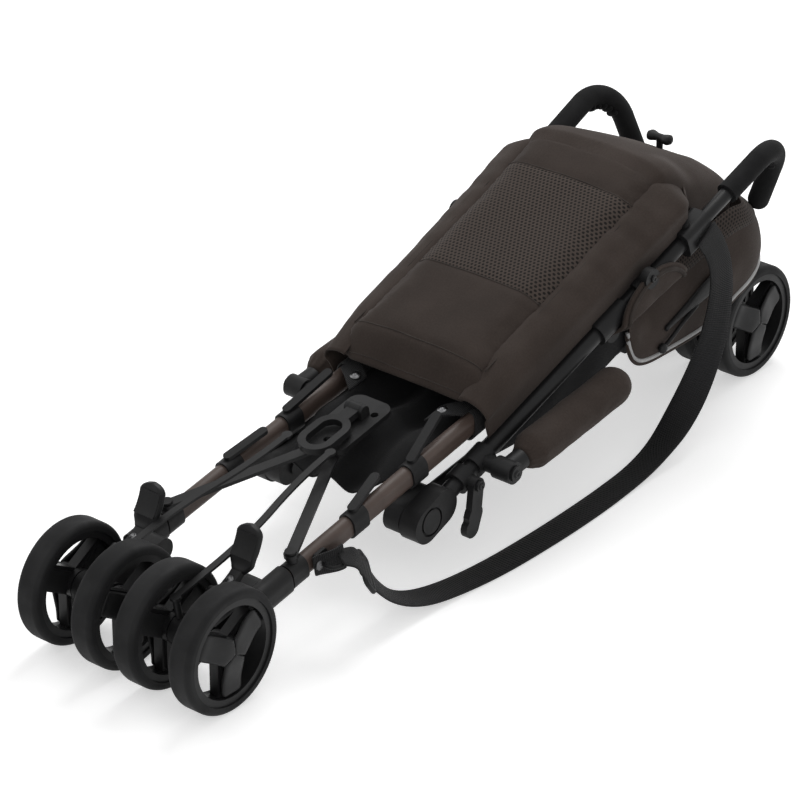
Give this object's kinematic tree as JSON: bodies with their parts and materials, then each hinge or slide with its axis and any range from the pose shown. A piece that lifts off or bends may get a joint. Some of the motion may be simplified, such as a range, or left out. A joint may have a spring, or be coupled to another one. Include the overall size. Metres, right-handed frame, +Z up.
{
  "type": "umbrella stroller",
  "caption": "Folded umbrella stroller: two side frames with twin wheels, cross brace with foot ring, cloth back panel, canopy with visor, bumper arms, foam J grips, carrying strap",
  "frame": {"origin": "on the floor under the middle of the folded stroller, wheels resting on the floor", "axes": "+X from the rear axle towards the handles, +Y to the left side of the stroller, +Z up, with the back of the seat facing up"},
  "size_m": [1.103, 0.35, 0.3429],
  "materials": {
    "leg_brown": "matte champagne-brown powder coat",
    "tube_black": "satin black powder coat",
    "bar_black": "satin black coated flat bar",
    "plastic_black": "fine moulded grain",
    "rim_black": "satin moulded",
    "tyre_black": "smooth foam rubber",
    "foam_black": "matte closed-cell foam",
    "fabric_brown": "plain woven, water repellent",
    "fabric_black": "plain woven",
    "webbing_black": "ribbed webbing"
  },
  "bodies": {
    "core": {"back_panel": "fabric_brown", "seat_sling": "fabric_black", "canopy_hood": "fabric_brown", "canopy_rod": "tube_black"},
    "visor": {"canopy_visor": "fabric_brown", "visor_frame": "plastic_black"},
    "knob": {"recline_knob": "plastic_black"},
    "right_main": {"right_main_tube": "tube_black", "right_grip": "foam_black", "right_main_brackets": "plastic_black", "right_joint_upper": "plastic_black", "right_side_gusset": "fabric_brown", "carry_strap": "webbing_black"},
    "right_leg": {"right_rear_leg": "leg_brown", "right_leg_clamps": "plastic_black", "right_axle_housing": "plastic_black", "right_brake_link": "bar_black"},
    "right_pedal": {"right_brake_pedal": "plastic_black"},
    "right_arm": {"right_brace_arm": "bar_black"},
    "right_front": {"right_front_leg": "tube_black", "right_front_fittings": "plastic_black"},
    "right_caster_body": {"right_caster": "plastic_black"},
    "right_bumper": {"right_bumper_pad": "fabric_brown", "right_bumper_arm": "plastic_black"},
    "right_rear_inner_wheel": {"right_rear_inner_tyre": "tyre_black", "right_rear_inner_rim": "rim_black"},
    "right_rear_outer_wheel": {"right_rear_outer_tyre": "tyre_black", "right_rear_outer_rim": "rim_black"},
    "right_front_inner_wheel": {"right_front_inner_tyre": "tyre_black", "right_front_inner_rim": "rim_black"},
    "right_front_outer_wheel": {"right_front_outer_tyre": "tyre_black", "right_front_outer_rim": "rim_black"},
    "left_main": {"left_main_tube": "tube_black", "left_grip": "foam_black", "left_main_brackets": "plastic_black", "left_joint_upper": "plastic_black", "left_side_gusset": "fabric_brown"},
    "left_leg": {"left_rear_leg": "leg_brown", "left_leg_clamps": "plastic_black", "left_axle_housing": "plastic_black", "left_brake_link": "bar_black"},
    "left_pedal": {"left_brake_pedal": "plastic_black"},
    "left_arm": {"left_brace_arm": "bar_black"},
    "left_front": {"left_front_leg": "tube_black", "left_front_fittings": "plastic_black"},
    "left_caster_body": {"left_caster": "plastic_black"},
    "left_bumper": {"left_bumper_pad": "fabric_brown", "left_bumper_arm": "plastic_black"},
    "left_rear_inner_wheel": {"left_rear_inner_tyre": "tyre_black", "left_rear_inner_rim": "rim_black"},
    "left_rear_outer_wheel": {"left_rear_outer_tyre": "tyre_black", "left_rear_outer_rim": "rim_black"},
    "left_front_inner_wheel": {"left_front_inner_tyre": "tyre_black", "left_front_inner_rim": "rim_black"},
    "left_front_outer_wheel": {"left_front_outer_tyre": "tyre_black", "left_front_outer_rim": "rim_black"},
    "hub": {"hub_plate": "plastic_black"},
    "ring": {"fold_ring": "plastic_black"},
    "hook": {"lock_hook": "plastic_black"}
  },
  "joints": [
    {"name": "fold_right", "type": "slide", "parent": "core", "child": "right_main", "axis": [0, -1, 0], "range_m": [0, 0.1], "deforming": ["back_panel", "seat_sling", "canopy_hood", "carry_strap"]},
    {"name": "leg_right", "type": "hinge", "parent": "right_main", "child": "right_leg", "pos_m": [0.15712, -0.089, 0.19153], "axis": [0, 1, 0], "range_deg": [0, 40.5]},
    {"name": "front_right", "type": "hinge", "parent": "right_main", "child": "right_front", "pos_m": [-0.1595, -0.086, 0.084], "axis": [0, 1, 0], "range_deg": [0, 163.5]},
    {"name": "arm_right", "type": "hinge", "parent": "right_leg", "child": "right_arm", "pos_m": [-0.35273, -0.089, 0.11547], "axis": [-0.1869, 0, 0.9824], "range_deg": [0, 39.66]},
    {"name": "bumper_right", "type": "hinge", "parent": "right_main", "child": "right_bumper", "pos_m": [-0.06832, -0.15, 0.11992], "axis": [0, 1, 0], "range_deg": [0, 80.5]},
    {"name": "pedal_right", "type": "hinge", "parent": "right_leg", "child": "right_pedal", "pos_m": [-0.44491, -0.069, 0.10241], "axis": [0, 1, 0], "range_deg": [0, 20]},
    {"name": "swivel_right", "type": "hinge", "parent": "right_front", "child": "right_caster_body", "pos_m": [0.49418, -0.056, 0.09719], "axis": [-0.9063, 0, 0.4226], "range_deg": [-8, 8]},
    {"name": "right_rear_inner_spin", "type": "hinge", "parent": "right_leg", "child": "right_rear_inner_wheel", "pos_m": [-0.4815, -0.03, 0.07], "axis": [0, 1, 0], "continuous": true},
    {"name": "right_rear_outer_spin", "type": "hinge", "parent": "right_leg", "child": "right_rear_outer_wheel", "pos_m": [-0.4815, -0.108, 0.07], "axis": [0, 1, 0], "continuous": true},
    {"name": "right_front_inner_spin", "type": "hinge", "parent": "right_caster_body", "child": "right_front_inner_wheel", "pos_m": [0.4815, -0.029, 0.07], "axis": [0, 1, 0], "continuous": true},
    {"name": "right_front_outer_spin", "type": "hinge", "parent": "right_caster_body", "child": "right_front_outer_wheel", "pos_m": [0.4815, -0.083, 0.07], "axis": [0, 1, 0], "continuous": true},
    {"name": "fold_left", "type": "slide", "parent": "core", "child": "left_main", "axis": [0, 1, 0], "range_m": [0, 0.1]},
    {"name": "leg_left", "type": "hinge", "parent": "left_main", "child": "left_leg", "pos_m": [0.15712, 0.089, 0.19153], "axis": [0, 1, 0], "range_deg": [0, 40.5]},
    {"name": "front_left", "type": "hinge", "parent": "left_main", "child": "left_front", "pos_m": [-0.1595, 0.086, 0.084], "axis": [0, 1, 0], "range_deg": [0, 163.5]},
    {"name": "arm_left", "type": "hinge", "parent": "left_leg", "child": "left_arm", "pos_m": [-0.35273, 0.089, 0.11547], "axis": [0.1869, 0, -0.9824], "range_deg": [0, 39.66]},
    {"name": "bumper_left", "type": "hinge", "parent": "left_main", "child": "left_bumper", "pos_m": [-0.06832, 0.15, 0.11992], "axis": [0, 1, 0], "range_deg": [0, 80.5]},
    {"name": "pedal_left", "type": "hinge", "parent": "left_leg", "child": "left_pedal", "pos_m": [-0.44491, 0.069, 0.10241], "axis": [0, 1, 0], "range_deg": [0, 20.5]},
    {"name": "swivel_left", "type": "hinge", "parent": "left_front", "child": "left_caster_body", "pos_m": [0.49418, 0.056, 0.09719], "axis": [-0.9063, 0, 0.4226], "range_deg": [-8, 8]},
    {"name": "left_rear_inner_spin", "type": "hinge", "parent": "left_leg", "child": "left_rear_inner_wheel", "pos_m": [-0.4815, 0.03, 0.07], "axis": [0, 1, 0], "continuous": true},
    {"name": "left_rear_outer_spin", "type": "hinge", "parent": "left_leg", "child": "left_rear_outer_wheel", "pos_m": [-0.4815, 0.108, 0.07], "axis": [0, 1, 0], "continuous": true},
    {"name": "left_front_inner_spin", "type": "hinge", "parent": "left_caster_body", "child": "left_front_inner_wheel", "pos_m": [0.4815, 0.029, 0.07], "axis": [0, 1, 0], "continuous": true},
    {"name": "left_front_outer_spin", "type": "hinge", "parent": "left_caster_body", "child": "left_front_outer_wheel", "pos_m": [0.4815, 0.083, 0.07], "axis": [0, 1, 0], "continuous": true},
    {"name": "hub_turn", "type": "hinge", "parent": "right_arm", "child": "hub", "pos_m": [-0.16608, 0, 0.15099], "axis": [0.1869, 0, -0.9824], "range_deg": [0, 39.66]},
    {"name": "ring_lift", "type": "hinge", "parent": "hub", "child": "ring", "pos_m": [-0.14307, 0, 0.17451], "axis": [0, 1, 0], "range_deg": [0, 35]},
    {"name": "visor_swing", "type": "hinge", "parent": "core", "child": "visor", "pos_m": [0.20161, 0, 0.24774], "axis": [0, 1, 0], "range_deg": [0, 55.5]},
    {"name": "hook_swing", "type": "hinge", "parent": "right_main", "child": "hook", "pos_m": [-0.09809, -0.128, 0.10819], "axis": [0, 1, 0], "range_deg": [0, 40]},
    {"name": "knob_turn", "type": "hinge", "parent": "core", "child": "knob", "pos_m": [0.4025, 0, 0.29], "axis": [0, 0, 1], "range_deg": [-90, 90]}
  ],
  "couplings": [
    {"joint": "leg_right", "follows": "fold_right", "rad_per_m": 6.9813},
    {"joint": "front_right", "follows": "fold_right", "rad_per_m": 28.449},
    {"joint": "arm_right", "follows": "fold_right", "rad_per_m": 6.8356},
    {"joint": "bumper_right", "follows": "fold_right", "rad_per_m": 13.963},
    {"joint": "fold_left", "follows": "fold_right", "ratio": 1},
    {"joint": "leg_left", "follows": "fold_right", "rad_per_m": 6.9813},
    {"joint": "front_left", "follows": "fold_right", "rad_per_m": 28.449},
    {"joint": "arm_left", "follows": "fold_right", "rad_per_m": 6.8356},
    {"joint": "bumper_left", "follows": "fold_right", "rad_per_m": 13.963},
    {"joint": "pedal_left", "follows": "pedal_right", "ratio": 1},
    {"joint": "hub_turn", "follows": "fold_right", "rad_per_m": 6.8356},
    {"joint": "visor_swing", "follows": "fold_right", "rad_per_m": 9.5993}
  ]
}
